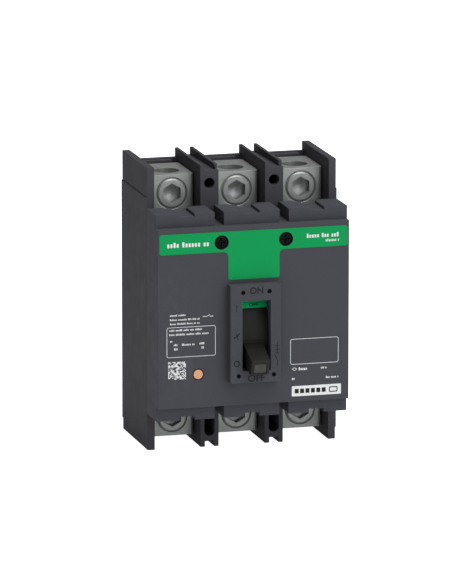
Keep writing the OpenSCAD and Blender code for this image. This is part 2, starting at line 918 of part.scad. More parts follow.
load_conductor(pole_x(0));  // load_conductor_2
load_conductor(pole_x(1));  // load_conductor_3
arc_plates(pole_x(-1));  // arc_plates_1
arc_plates(pole_x(0));  // arc_plates_2
arc_plates(pole_x(1));  // arc_plates_3
arc_walls();
mechanism_frame(-1);  // mechanism_frame_left
mechanism_frame(1);  // mechanism_frame_right
frame_rods();
toggle_handle();
off_flag();
handle_yoke();
toggle_springs();
cradle();
upper_link();
knee_pin();
lower_link();
crossbar();
arm_pins();
contact_springs();
contact_arm(pole_x(-1));  // contact_arm_1
contact_arm(pole_x(0));  // contact_arm_2
contact_arm(pole_x(1));  // contact_arm_3
latch();
trip_bar();
trip_bar_spring();
calibration_screws();
bimetals();
magnet_yokes();
armature(pole_x(-1));  // armature_1
armature(pole_x(0));  // armature_2
armature(pole_x(1));  // armature_3
armature_springs();
flexible_braids();
trip_button();
button_spring();
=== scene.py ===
"""Looks of the molded case circuit breaker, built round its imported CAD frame.

Blender and the frame are in metres. What is drawn here is in millimetres and scaled by MM. Both share the
CAD's own frame: the cover faces -Y, and Z points to the line end.
"""

import json
import math
import random

import bmesh
import bpy
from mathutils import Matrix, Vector


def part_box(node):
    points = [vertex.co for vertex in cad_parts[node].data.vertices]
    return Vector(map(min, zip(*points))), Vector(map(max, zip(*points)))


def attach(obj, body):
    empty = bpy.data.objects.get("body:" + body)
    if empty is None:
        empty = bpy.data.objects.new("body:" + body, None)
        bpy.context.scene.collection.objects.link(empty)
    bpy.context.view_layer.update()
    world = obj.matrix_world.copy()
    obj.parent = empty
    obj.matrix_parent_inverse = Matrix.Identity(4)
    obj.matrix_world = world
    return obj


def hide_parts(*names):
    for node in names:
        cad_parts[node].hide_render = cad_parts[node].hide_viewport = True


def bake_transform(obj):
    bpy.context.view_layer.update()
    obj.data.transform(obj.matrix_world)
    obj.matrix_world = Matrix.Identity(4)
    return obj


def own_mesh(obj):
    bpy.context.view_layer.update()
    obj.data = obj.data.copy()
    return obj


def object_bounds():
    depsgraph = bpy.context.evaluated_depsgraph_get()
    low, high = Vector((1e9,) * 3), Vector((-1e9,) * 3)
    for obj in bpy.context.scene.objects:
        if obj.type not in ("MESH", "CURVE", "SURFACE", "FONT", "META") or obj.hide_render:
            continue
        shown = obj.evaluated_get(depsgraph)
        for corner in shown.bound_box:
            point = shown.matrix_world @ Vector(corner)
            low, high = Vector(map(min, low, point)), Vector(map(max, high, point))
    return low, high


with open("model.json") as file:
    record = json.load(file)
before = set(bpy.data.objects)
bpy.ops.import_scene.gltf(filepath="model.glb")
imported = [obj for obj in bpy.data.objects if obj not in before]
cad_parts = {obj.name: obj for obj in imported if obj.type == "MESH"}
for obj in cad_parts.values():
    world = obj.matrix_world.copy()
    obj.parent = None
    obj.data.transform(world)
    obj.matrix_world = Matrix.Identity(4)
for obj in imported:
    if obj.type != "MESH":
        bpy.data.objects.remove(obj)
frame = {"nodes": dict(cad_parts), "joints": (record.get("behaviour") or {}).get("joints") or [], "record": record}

MM = 0.001
cad_low, cad_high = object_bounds()


# ---------------------------------------------------------------- node materials

class Shader:
    """A Principled material in the making. Its texture coordinates are the object's own, in metres."""

    def __init__(self, name, colour, roughness, metallic=0.0):
        self.material = bpy.data.materials.new(name)
        self.material.use_nodes = True
        self.tree = self.material.node_tree
        self.bsdf = self.tree.nodes["Principled BSDF"]
        self.bsdf.inputs["Base Color"].default_value = (*colour, 1)
        self.bsdf.inputs["Roughness"].default_value = roughness
        self.bsdf.inputs["Metallic"].default_value = metallic
        self.coords = self.node("ShaderNodeTexCoord").outputs["Object"]
        self.colour = colour
        self.normal = None

    def node(self, kind, **values):
        made = self.tree.nodes.new(kind)
        for name, value in values.items():
            if name in made.inputs:
                made.inputs[name].default_value = value
            else:
                setattr(made, name, value)
        return made

    def link(self, source, target):
        self.tree.links.new(source, target)

    def stretched(self, scale):
        """The coordinates multiplied by scale along X, Y and Z."""
        mapping = self.node("ShaderNodeMapping", Scale=scale)
        self.link(self.coords, mapping.inputs["Vector"])
        return mapping.outputs["Vector"]

    def noise(self, size_mm, detail=3.0, stretch=(1, 1, 1), rough=0.55):
        """Noise from 0 to 1 whose blobs are about size_mm across."""
        made = self.node("ShaderNodeTexNoise", Scale=1 / (size_mm * MM), Detail=detail, Roughness=rough)
        self.link(self.stretched(stretch), made.inputs["Vector"])
        return made.outputs["Fac"]

    def spread(self, source, low, high, to_low=0.0, to_high=1.0):
        """Carries the span low to high of a value onto to_low to to_high."""
        made = self.node("ShaderNodeMapRange")
        for name, value in (("From Min", low), ("From Max", high), ("To Min", to_low), ("To Max", to_high)):
            made.inputs[name].default_value = value
        self.link(source, made.inputs["Value"])
        return made.outputs["Result"]

    def maths(self, operation, a, b):
        made = self.node("ShaderNodeMath", operation=operation)
        for socket, value in zip(made.inputs, (a, b)):
            if isinstance(value, (int, float)):
                socket.default_value = value
            else:
                self.link(value, socket)
        return made.outputs["Value"]

    def tint(self, factor, other):
        """Mixes another colour over the base colour where factor is 1."""
        made = self.node("ShaderNodeMix", data_type="RGBA")
        previous = self.bsdf.inputs["Base Color"].links
        if previous:
            self.link(previous[0].from_socket, made.inputs[6])
        else:
            made.inputs[6].default_value = (*self.colour, 1)
        made.inputs[7].default_value = (*other, 1)
        self.link(factor, made.inputs[0])
        self.link(made.outputs[2], self.bsdf.inputs["Base Color"])

    def vary_roughness(self, source, low, high):
        self.link(self.spread(source, 0.3, 0.7, low, high), self.bsdf.inputs["Roughness"])

    def bump(self, height, depth_mm, strength=1.0):
        made = self.node("ShaderNodeBump", Distance=depth_mm * MM, Strength=strength)
        self.link(height, made.inputs["Height"])
        if self.normal is not None:
            self.link(self.normal, made.inputs["Normal"])
        self.normal = made.outputs["Normal"]
        self.link(self.normal, self.bsdf.inputs["Normal"])

    def edge_wear(self, colour, amount=0.5):
        """Lightens the convex edges a little, unevenly."""
        geometry = self.node("ShaderNodeNewGeometry")
        edges = self.spread(geometry.outputs["Pointiness"], 0.53, 0.62)
        patches = self.spread(self.noise(6, 4), 0.42, 0.62)
        self.tint(self.maths("MULTIPLY", self.maths("MULTIPLY", edges, patches), amount), colour)


def lighter(colour, factor):
    return tuple(min(1.0, c * factor) for c in colour)


def moulded_plastic(name, colour, roughness=0.5, grain_mm=0.35, grain_depth=0.010, shine=0.05):
    """Spark-eroded moulded plastic: a fine grain, faint flow marks and uneven sheen."""
    s = Shader(name, colour, roughness)
    s.bsdf.inputs["Specular IOR Level"].default_value = shine
    s.tint(s.spread(s.noise(30, 3, (1, 1, 0.45)), 0.3, 0.75, 0, 0.3), lighter(colour, 1.08))
    s.tint(s.spread(s.noise(0.9, 2), 0.45, 0.8, 0, 0.3), lighter(colour, 0.82))
    s.edge_wear(lighter(colour, 1.7), 0.35)
    s.vary_roughness(s.noise(11, 4), roughness - 0.04, roughness + 0.06)
    s.bump(s.noise(grain_mm, 3), grain_depth)
    return s.material


def brushed_metal(name, colour, roughness, along=(1, 1, 0.05), stain=None):
    """Rolled or brushed metal with fine lines, cloudy tone and light scuffs."""
    s = Shader(name, colour, roughness, 1.0)
    s.tint(s.spread(s.noise(7, 4), 0.35, 0.7, 0, 0.6), stain or lighter(colour, 0.82))
    s.tint(s.spread(s.noise(0.5, 2, along), 0.5, 0.75, 0, 0.45), lighter(colour, 1.15))
    s.vary_roughness(s.noise(3, 4, along), roughness - 0.07, roughness + 0.1)
    s.bump(s.noise(0.35, 3, along), 0.01)
    return s.material


def cast_metal(name, colour, roughness):
    """Tin-plated extruded aluminium: satin and partly diffuse, with tool lines along Y."""
    s = Shader(name, colour, roughness, 0.55)
    s.tint(s.spread(s.noise(5, 4), 0.35, 0.72, 0, 0.6), lighter(colour, 0.84))
    s.tint(s.spread(s.noise(0.6, 3, (1, 0.05, 1)), 0.52, 0.78, 0, 0.5), lighter(colour, 1.12))
    s.edge_wear(lighter(colour, 1.35), 0.5)
    s.vary_roughness(s.noise(4, 3), roughness - 0.06, roughness + 0.09)
    s.bump(s.noise(0.5, 3, (1, 0.08, 1)), 0.012)
    s.bump(s.noise(0.22, 2), 0.006)
    return s.material


def printed_film(name, colour, roughness):
    """Satin printed film with a faint halftone and orange-peel."""
    s = Shader(name, colour, roughness)
    s.bsdf.inputs["Specular IOR Level"].default_value = 0.1
    s.tint(s.spread(s.noise(9, 3), 0.3, 0.7, 0, 0.5), lighter(colour, 0.93))
    s.tint(s.spread(s.noise(0.3, 1), 0.4, 0.7, 0, 0.3), lighter(colour, 1.08))
    s.vary_roughness(s.noise(5, 3), roughness - 0.05, roughness + 0.05)
    s.bump(s.noise(1.2, 2), 0.006)
    return s.material


def pressed_board(name, colour):
    """Vulcanised fibre or phenolic board: flecked and matt."""
    s = Shader(name, colour, 0.75)
    s.tint(s.spread(s.noise(0.8, 4, (1, 1, 0.3)), 0.4, 0.7, 0, 0.7), lighter(colour, 0.75))
    s.tint(s.spread(s.noise(4, 3), 0.45, 0.8, 0, 0.5), lighter(colour, 1.2))
    s.vary_roughness(s.noise(2, 3), 0.68, 0.85)
    s.bump(s.noise(0.4, 4, (1, 1, 0.4)), 0.03)
    return s.material


def drawn_copper(name, colour):
    """Bare copper strands, with random darker patches that are painted shade, for where strands lie under others.
    """
    s = Shader(name, colour, 0.36, 1.0)
    s.tint(s.spread(s.noise(1.2, 3), 0.4, 0.7, 0, 0.7), lighter(colour, 0.55))
    s.vary_roughness(s.noise(0.6, 3), 0.3, 0.48)
    s.bump(s.noise(0.12, 2, (1, 1, 0.2)), 0.01)
    return s.material


def screen_ink(name, colour, roughness=0.55):
    """Pad-printed ink: slightly uneven in tone, with worn pinholes."""
    s = Shader(name, colour, roughness)
    s.bsdf.inputs["Specular IOR Level"].default_value = 0.25
    s.tint(s.spread(s.noise(0.5, 3), 0.45, 0.75, 0, 0.5), lighter(colour, 0.8))
    s.vary_roughness(s.noise(1.5, 3), roughness - 0.08, roughness + 0.08)
    s.bump(s.noise(0.25, 2), 0.004)
    return s.material


GREEN = (0.0012, 0.285, 0.076)
CHARCOAL = (0.060, 0.061, 0.071)
BASE_GREY = (0.058, 0.058, 0.065)

SLOTS = {
    "base_plastic": lambda n: moulded_plastic(n, BASE_GREY, 0.62),
    "cover_plastic": lambda n: moulded_plastic(n, CHARCOAL, 0.6),
    "label_green": lambda n: printed_film(n, GREEN, 0.45),
    "black_screw": lambda n: brushed_metal(n, (0.012, 0.012, 0.013), 0.5, (1, 1, 1)),
    "zinc_steel": lambda n: brushed_metal(n, (0.60, 0.61, 0.62), 0.32),
    "lug_aluminium": lambda n: cast_metal(n, (0.34, 0.35, 0.34), 0.42),
    "copper": lambda n: brushed_metal(n, (0.80, 0.42, 0.27), 0.33, stain=(0.5, 0.2, 0.12)),
    "plain_steel": lambda n: brushed_metal(n, (0.45, 0.46, 0.47), 0.38),
    "silver_contact": lambda n: brushed_metal(n, (0.85, 0.84, 0.80), 0.28, (1, 1, 1)),
    "fibre_board": lambda n: pressed_board(n, (0.55, 0.42, 0.26)),
    "handle_plastic": lambda n: moulded_plastic(n, (0.0115, 0.0112, 0.0100), 0.5, 0.3, 0.006, 0.18),
    "spring_steel": lambda n: brushed_metal(n, (0.52, 0.53, 0.55), 0.27, (1, 1, 1)),
    "crossbar_phenolic": lambda n: pressed_board(n, (0.10, 0.05, 0.03)),
    "trip_bar_plastic": lambda n: moulded_plastic(n, (0.03, 0.034, 0.05), 0.5),
    "brass": lambda n: brushed_metal(n, (0.72, 0.54, 0.24), 0.3, (1, 1, 1)),
    "bimetal_strip": lambda n: brushed_metal(n, (0.52, 0.47, 0.38), 0.35),
    "braid_copper": lambda n: drawn_copper(n, (0.78, 0.38, 0.22)),
    "button_plastic": lambda n: moulded_plastic(n, (0.66, 0.34, 0.19), 0.4, 0.3, 0.005),
}
node_slot = {s["node"]: s["material_slot"] for s in frame["record"]["subparts"]}
materials = {slot: make(slot) for slot, make in SLOTS.items()}
for name, node in frame["nodes"].items():
    node.data.materials.clear()
    node.data.materials.append(materials[node_slot[name]])

# Brighter than the label, because the flag sits in the shade of the window
frame["nodes"]["off_flag"].data.materials[0] = printed_film("flag_green", (0.0015, 0.52, 0.155), 0.45)

WHITE_INK = screen_ink("white_ink", (0.72, 0.73, 0.73))
DARK_INK = screen_ink("dark_ink", (0.008, 0.008, 0.009))
FLAG_INK = screen_ink("flag_ink", (0.003, 0.045, 0.02))
PANEL_GREY = moulded_plastic("panel_grey", (0.060, 0.060, 0.053), 0.5, 0.3, 0.006)


# ---------------------------------------------------------------- making pieces

class Pile:
    """The vertices and faces of one piece in the making, in millimetres."""

    def __init__(self):
        self.points = []
        self.faces = []

    def add(self, points, faces):
        start = len(self.points)
        self.points += [Vector(p) for p in points]
        self.faces += [[start + i for i in face] for face in faces]

    def tube(self, path, radius, sides=8):
        """A round wire along a path, with flat ends."""
        normal = (path[1] - path[0]).orthogonal().normalized()
        points = []
        for i, p in enumerate(path):
            ahead = (path[min(i + 1, len(path) - 1)] - path[max(i - 1, 0)]).normalized()
            normal = (normal - ahead * normal.dot(ahead)).normalized()
            across = ahead.cross(normal)
            for k in range(sides):
                a = math.tau * k / sides
                points.append(p + (normal * math.cos(a) + across * math.sin(a)) * radius)
        faces = []
        for i in range(len(path) - 1):
            here, there = i * sides, (i + 1) * sides
            for k in range(sides):
                faces.append([here + k, here + (k + 1) % sides, there + (k + 1) % sides, there + k])
        last = (len(path) - 1) * sides
        faces += [list(reversed(range(sides))), list(range(last, last + sides))]
        self.add(points, faces)

    def plate(self, outline, surface, proud):
        """A flat plate that stands proud of a surface facing -Y. The outline is [x, z], anticlockwise."""
        n = len(outline)
        sunk = surface + proud / 3
        points = [(x, surface - proud, z) for x, z in outline] + [(x, sunk, z) for x, z in outline]
        faces = [list(range(n)), list(range(2 * n - 1, n - 1, -1))]
        faces += [[(i + 1) % n, i, n + i, n + (i + 1) % n] for i in range(n)]
        self.add(points, faces)

    def bar(self, x1, x2, z1, z2, surface, proud=0.03):
        self.plate([(x1, z1), (x2, z1), (x2, z2), (x1, z2)], surface, proud)

    def stroke(self, ends, width, surface, proud=0.03):
        """Straight strokes of a pen through points [x, z]."""
        for (xa, za), (xb, zb) in zip(ends, ends[1:]):
            along = Vector((xb - xa, zb - za)).normalized()
            n = Vector((-along.y, along.x)) * width / 2
            a = Vector((xa, za)) - along * width / 2
            b = Vector((xb, zb)) + along * width / 2
            self.plate([tuple(a - n), tuple(b - n), tuple(b + n), tuple(a + n)], surface, proud)

    def ring(self, outer, inner, surface, proud=0.03):
        """A flat band between two outlines with as many points each."""
        n = len(outer)
        levels = [(outer, surface - proud), (inner, surface - proud), (inner, surface + proud / 3),
                  (outer, surface + proud / 3)]
        points = [(x, y, z) for line, y in levels for x, z in line]
        faces = [[a * n + i, a * n + (i + 1) % n, b * n + (i + 1) % n, b * n + i]
                 for a, b in ((0, 1), (1, 2), (2, 3), (3, 0)) for i in range(n)]
        self.add(points, faces)

    def lettering(self, words, width, height, x, z, surface, proud=0.03, bold=0.03):
        """Words fitted to a box of that width and height, centred on x and z."""
        curve = bpy.data.curves.new("lettering", "FONT")
        curve.body = words
        curve.extrude = 0.5
        curve.offset = bold
        holder = bpy.data.objects.new("lettering", curve)
        bpy.context.scene.collection.objects.link(holder)
        bpy.context.view_layer.update()
        mesh = bpy.data.meshes.new_from_object(holder.evaluated_get(bpy.context.evaluated_depsgraph_get()))
        low = [min(v.co[k] for v in mesh.vertices) for k in range(3)]
        high = [max(v.co[k] for v in mesh.vertices) for k in range(3)]
        points = []
        for v in mesh.vertices:
            share = [(v.co[k] - low[k]) / (high[k] - low[k]) - 0.5 for k in range(3)]
            y = surface - proud if share[2] > 0 else surface + proud / 3
            points.append((x + share[0] * width, y, z + share[1] * height))
        self.add(points, [list(face.vertices) for face in mesh.polygons])
        bpy.data.objects.remove(holder)
        bpy.data.curves.remove(curve)
        bpy.data.meshes.remove(mesh)

    def dummy_words(self, x1, x2, z, height, surface, seed, letter=0.62, proud=0.03):
        """A row of unreadable blocks, grouped like the letters of short words."""
        draw = random.Random(seed)
        step = height * letter
        ink, gap = step * 0.66, step * 0.8
        low, share_of_tall = height * 0.72, 0.35
        x = x1
        left_in_word = draw.randint(3, 7)
        while x + gap <= x2:
            tall = height if draw.random() < share_of_tall else low
            self.bar(x, x + ink, z - height / 2, z - height / 2 + tall, surface, proud)
            x += step
            left_in_word -= 1
            if left_in_word == 0:
                x += gap
                left_in_word = draw.randint(2, 7)

    def mesh(self, name, smooth_deg=30):
        made = bmesh.new()
        corners = [made.verts.new(p * MM) for p in self.points]
        for face in self.faces:
            made.faces.new([corners[i] for i in face])
        bmesh.ops.remove_doubles(made, verts=made.verts, dist=1e-7)
        bmesh.ops.recalc_face_normals(made, faces=made.faces)
        mesh = bpy.data.meshes.new(name)
        made.to_mesh(mesh)
        made.free()
        mesh.shade_smooth()
        mesh.set_sharp_from_angle(angle=math.radians(smooth_deg))
        return mesh


def place(name, mesh, material):
    """A piece that shows a mesh in one material. It still has to ride on a body."""
    piece = bpy.data.objects.new(name, mesh)
    bpy.context.scene.collection.objects.link(piece)
    mesh.materials.clear()
    mesh.materials.append(material)
    return piece


def round_rectangle(x1, x2, z1, z2, radius, steps=6):
    """The outline [x, z] of a rectangle with round corners, anticlockwise."""
    points = []
    corners = ((x2 - radius, z1 + radius, -90), (x2 - radius, z2 - radius, 0),
               (x1 + radius, z2 - radius, 90), (x1 + radius, z1 + radius, 180))
    for cx, cz, start in corners:
        for i in range(steps + 1):
            a = math.radians(start + 90 * i / steps)
            points.append((cx + radius * math.cos(a), cz + radius * math.sin(a)))
    return points


def circle_outline(x, z, radius, steps=32):
    return [(x + radius * math.cos(math.tau * i / steps), z + radius * math.sin(math.tau * i / steps))
            for i in range(steps)]


# ---------------------------------------------------------------- CAD shapes with rounded edges

def rounded(node, width_mm, segments=2, sharp_deg=32):
    """A copy of a CAD node with its convex edges rounded, which stands for the node."""
    made = bmesh.new()
    made.from_mesh(frame["nodes"][node].data)
    bmesh.ops.remove_doubles(made, verts=made.verts, dist=2e-6)
    bmesh.ops.dissolve_limit(made, angle_limit=math.radians(0.8), verts=made.verts, edges=made.edges)
    edges = [e for e in made.edges if len(e.link_faces) == 2 and e.is_convex
             and e.calc_face_angle(0) > math.radians(sharp_deg)]
    bmesh.ops.bevel(made, geom=edges, offset=width_mm * MM, offset_type="OFFSET", segments=segments,
                    profile=0.5, affect="EDGES", clamp_overlap=False)
    bmesh.ops.triangulate(made, faces=[f for f in made.faces if len(f.verts) > 4])
    mesh = bpy.data.meshes.new(node + "_rounded")
    made.to_mesh(mesh)
    made.free()
    if "custom_normal" in mesh.attributes:
        mesh.attributes.remove(mesh.attributes["custom_normal"])
    mesh.shade_smooth()
    mesh.set_sharp_from_angle(angle=math.radians(sharp_deg))
    piece = place(node + "_rounded", mesh, materials[node_slot[node]])
    piece.modifiers.new("face_weighted", "WEIGHTED_NORMAL").keep_sharp = True
    body = next(b for b, members in frame["record"]["behaviour"]["bodies"].items() if node in members)
    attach(piece, body)
    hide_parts(node)
    return piece


ROUNDINGS = {
    "base_housing": 0.25, "front_cover": 0.2, "toggle_handle": 0.25, "trip_button": 0.3,
    "cover_screws": 0.15, "rear_screws": 0.15, "crossbar": 0.25, "trip_bar": 0.25, "handle_yoke": 0.2,
    "cradle": 0.25, "latch": 0.25, "mechanism_frame_left": 0.15, "mechanism_frame_right": 0.15,
}
for row in (1, 2, 3):
    for side in ("line", "load"):
        ROUNDINGS[f"{side}_lug_{row}"] = 0.3
        ROUNDINGS[f"{side}_screw_{row}"] = 0.12
    ROUNDINGS[f"contact_arm_{row}"] = 0.2
for name, width in ROUNDINGS.items():
    rounded(name, width)


# ---------------------------------------------------------------- prints on the cover

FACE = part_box("face_label")[1].y / MM
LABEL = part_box("face_label")[0].y / MM
FRAME_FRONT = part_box("front_cover")[0].y / MM


def left_print():
    """Dummy rows of small print, a framed table and a block pattern, on the left of the face."""
    p = Pile()
    for i, (x2, z) in enumerate(((-39.9, 1.6), (-32.2, -1.0), (-32.2, -3.4))):
        p.dummy_words(-50, x2, z, 1.05, FACE, 11 + i, 0.7)
    p.stroke([(-30.4, 0.1), (-28.0, 0.1), (-26.4, 1.0)], 0.35, FACE)
    p.stroke([(-26.2, 0.1), (-24.4, 0.1)], 0.35, FACE)
    outer = round_rectangle(-52.0, -22.85, -23.2, -5.4, 1.2)
    inner = round_rectangle(-51.72, -23.13, -22.92, -5.68, 0.95)
    p.ring(outer, inner, FACE)
    p.dummy_words(-50.4, -30.4, -7.2, 1.15, FACE, 21, 0.7)
    p.dummy_words(-50.4, -27.0, -9.7, 1.15, FACE, 22, 0.7)
    for i, (x1, x2, z) in enumerate(((-50, -48.3, -13.5), (-47.7, -44.7, -15.8), (-42.9, -35.2, -15.8),
                                     (-32.5, -29.2, -15.6), (-47.6, -45.4, -18.3), (-31.2, -29.2, -18.1))):
        p.dummy_words(x1, x2, z, 1.25, FACE, 31 + i)
    draw = random.Random(5)
    cells, x1, z1 = 17, -51.1, -36.2
    size, filled = 10.5 / cells, 0.56
    for row in range(cells):
        for column in range(cells):
            if draw.random() < filled:
                x, z = x1 + column * size, z1 + row * size
                p.bar(x, x + size * 0.97, z, z + size * 0.97, FACE)
    return p


def right_print():
    """An empty framed field and a few dummy words on the right of the face."""
    p = Pile()
    outer = round_rectangle(21.9, 50.9, -31.5, -16.35, 1.3)
    inner = round_rectangle(22.18, 50.62, -31.22, -16.63, 1.02)
    p.ring(outer, inner, FACE)
    p.stroke([(23.1, -34.2), (24.4, -33.3), (25.9, -34.2), (24.4, -35.1), (23.1, -34.2)], 0.35, FACE)
    p.dummy_words(27.0, 32.6, -34.2, 1.7, FACE, 41)
    p.dummy_words(40.4, 44.2, -34.3, 1.0, FACE, 42)
    p.dummy_words(43.4, 51.2, -40.0, 1.3, FACE, 43)
    p.dummy_words(22.9, 25.0, -39.8, 1.5, FACE, 44)
    return p


def band_marks():
    """Plain blocks in place of the marks on the green band."""
    p = Pile()
    p.dummy_words(-51.6, -26.5, 42.9, 3.0, LABEL, 51)
    p.dummy_words(31.6, 51.2, 44.2, 2.5, LABEL, 52)
    p.dummy_words(43.0, 51.2, 41.1, 1.5, LABEL, 53)
    return p


def badge_marks(surface):
    """Dark blocks on the white badge."""
    p = Pile()
    first, spacing, width = 24.6, 3.25, 2.4
    for i in range(6):
        x = first + i * spacing
        p.bar(x, x + width, -48.7, -46.05, surface)
    outer = round_rectangle(45.2, 50.4, -49.0, -45.75, 0.5)
    inner = round_rectangle(45.8, 49.8, -48.4, -46.35, 0.3)
    p.ring(outer, inner, surface)
    return p


def frame_marks():
    """ON, OFF, I, O, the trip arrow and a switch symbol on the handle's frame."""
    p = Pile()
    p.lettering("ON", 8.0, 4.1, -0.1, 15.0, FRAME_FRONT)
    p.lettering("OFF", 10.2, 4.2, -0.2, -36.6, FRAME_FRONT)
    p.bar(-12.1, -11.65, 2.9, 7.4, FRAME_FRONT)
    p.ring(circle_outline(-11.9, -27.7, 1.85), circle_outline(-11.9, -27.7, 1.2), FRAME_FRONT)
    p.stroke([(-13.3, -12.3), (-11.7, -11.4), (-10.3, -10.0)], 0.7, FRAME_FRONT)
    p.stroke([(-12.1, -10.2), (-11.2, -13.2)], 0.5, FRAME_FRONT)
    x = 12.4
    p.stroke([(x, -16.3), (x, -22.6)], 0.45, FRAME_FRONT)
    for z in (-18.3, -20.4, -22.6):
        p.stroke([(x - 1.1, z), (x + 1.1, z)], 0.42, FRAME_FRONT)
    p.stroke([(x - 1.6, -23.6), (x + 0.2, -26.9), (x + 0.2, -30.2)], 0.45, FRAME_FRONT)
    return p


PRINTS = (
    ("left_print", left_print(), WHITE_INK),
    ("right_print", right_print(), WHITE_INK),
    ("band_marks", band_marks(), WHITE_INK),
    ("frame_marks", frame_marks(), DARK_INK),
)
for name, pile, ink in PRINTS:
    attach(place(name, pile.mesh(name), ink), "housing")

BADGE_THICKNESS = 0.05
badge = Pile()
badge.plate(round_rectangle(22.85, 52.45, -50.4, -44.35, 0.4), FACE, BADGE_THICKNESS)
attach(place("white_badge", badge.mesh("white_badge"), WHITE_INK), "housing")
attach(place("badge_marks", badge_marks(FACE - BADGE_THICKNESS).mesh("badge_marks"), DARK_INK), "housing")

button_low, button_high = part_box("trip_button")
button_x = (button_low.x + button_high.x) / 2 / MM
button_z = (button_low.z + button_high.z) / 2 / MM
RING_OUTER, RING_INNER = 3.45, 3.0
halo = Pile()
outer = circle_outline(button_x, button_z, RING_OUTER, 48)
inner = circle_outline(button_x, button_z, RING_INNER, 48)
halo.ring(outer, inner, FACE)
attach(place("button_ring", halo.mesh("button_ring"), DARK_INK), "housing")


# ---------------------------------------------------------------- handle trim

joint_at = {j["name"]: Vector(j["pos_m"]) / MM for j in frame["joints"] if "pos_m" in j}
PIVOT = joint_at["handle_swing"]
# The handle rests this far from pointing straight out
OFF_DEG = 17.5


def turned_off(points):
    """Turns points drawn with the handle straight out to where it rests, about the pivot."""
    a = math.radians(OFF_DEG)
    out = []
    for p in points:
        d = Vector(p) - PIVOT
        out.append(Vector((p[0], PIVOT.y + d.y * math.cos(a) - d.z * math.sin(a),
                           PIVOT.z + d.y * math.sin(a) + d.z * math.cos(a))))
    return out


def tip_panel():
    """The lighter plate in the handle's tip."""
    grip = [Vector(v.co) / MM - PIVOT for v in frame["nodes"]["toggle_handle"].data.vertices]
    tip = max(math.hypot(v.y, v.z) for v in grip)
    recess_floor = 0.74
    p = Pile()
    outline = round_rectangle(-3.5, 3.5, PIVOT.z - 3.2, PIVOT.z + 2.4, 0.5)
    p.plate(outline, PIVOT.y - tip + recess_floor, 0.25)
    p.points = turned_off(p.points)
    return p


def flag_word():
    """OFF on the green flag, bent to its curve."""
    flat = Pile()
    flat.lettering("OFF", 6.0, 2.2, 1.4, 0.0, 0.0, 0.04)
    radius, word_z = 36.4, 4.3
    middle = math.asin((word_z - PIVOT.z) / radius)
    points = []
    for q in flat.points:
        a = middle + q.z / radius
        r = radius - q.y
        points.append(Vector((q.x, PIVOT.y - r * math.cos(a), PIVOT.z + r * math.sin(a))))
    flat.points = points
    return flat


def grip_collar():
    """A low collar round the grip's root, bent onto the curved shield."""
    p = Pile()
    inner, outer, steps = 36.0, 36.55, 10
    wide_in, wide_out = 6.1, 6.9
    high_in, high_out = 6.2, 7.2
    strips = ((-wide_out, wide_out, high_in, high_out), (-wide_out, wide_out, -high_out, -high_in),
              (-wide_out, -wide_in, -high_in, high_in), (wide_in, wide_out, -high_in, high_in))
    for x1, x2, z1, z2 in strips:
        points = []
        for i in range(steps + 1):
            a = (z1 + (z2 - z1) * i / steps) / inner
            points += [(x, PIVOT.y - r * math.cos(a), PIVOT.z + r * math.sin(a))
                       for x, r in ((x1, outer), (x2, outer), (x2, inner), (x1, inner))]
        faces = [[4 * i + k, 4 * i + (k + 1) % 4, 4 * i + 4 + (k + 1) % 4, 4 * i + 4 + k]
                 for i in range(steps) for k in range(4)]
        last = 4 * steps
        p.add(points, faces + [[0, 1, 2, 3], [last + 3, last + 2, last + 1, last]])
    p.points = turned_off(p.points)
    return p


collar = place("grip_collar", grip_collar().mesh("grip_collar"), materials["handle_plastic"])
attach(collar, "handle")
panel = place("handle_tip_panel", tip_panel().mesh("handle_tip_panel"), PANEL_GREY)
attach(panel, "handle")
word = place("flag_word", flag_word().mesh("flag_word"), FLAG_INK)
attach(word, "handle")


# ---------------------------------------------------------------- springs and braids

def coil(start, along, across, radius, turns, pitch, steps=20, first_deg=0.0):
    """Points of a helix from start, with unit vectors along its axis and across it."""
    third = along.cross(across)
    total = round(turns * steps)
    points = []
    for i in range(total + 1):
        a = math.tau * i / steps + math.radians(first_deg)
        round_the_axis = (across * math.cos(a) + third * math.sin(a)) * radius
        points.append(start + along * (pitch * i / steps) + round_the_axis)
    return points


def spring_piece(name, piles, body, node):
    piece = place(name, piles.mesh(name, 60), materials[node_slot[node]])
    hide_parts(node)
    if body:
        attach(piece, body)
    return piece


# The knee pin moves 1.76 mm along the springs between off and on, and the eyes have to leave it room
KNEE_SLACK = 1.85


def toggle_springs():
    """Two close-wound tension springs with a hook at each end."""
    p = Pile()
    hook = joint_at["spring_follow"]
    knee = joint_at["lower_link_turn"]
    wire, radius = 0.45, 1.9
    for x in (-8.0, 8.0):
        a = Vector((x, hook.y, hook.z))
        b = Vector((x, knee.y, knee.z))
        along = (b - a).normalized()
        across = Vector((1, 0, 0))
        third = along.cross(across)
        body_start, body_end = 4.4, (b - a).length - 4.6
        body_length = body_end - body_start
        # Just over two wire radii for each turn, so that the turns lie close
        turns = int(body_length / (wire * 2.08))
        turns_path = coil(a + along * body_start, along, across, radius, turns, body_length / turns)

        def loop(centre, size, outwards, slack=0.0):
            """The open eye round a pin, from the coil's side of it, longer by slack on the far side."""
            arc = []
            for i in range(15):
                t = math.radians(30 + 300 * i / 14)
                point = centre + (along * outwards * math.cos(t) + third * math.sin(t)) * size
                arc.append(point - along * outwards * slack if math.cos(t) < 0 else point)
            return arc

        near = loop(a, 1.45, 1)
        far = loop(b, 2.05, -1, KNEE_SLACK)
        path = list(reversed(near)) + turns_path + far
        p.tube(path, wire, 8)
    return p


spring_piece("toggle_spring_coils", toggle_springs(), "handle_springs", "toggle_springs")


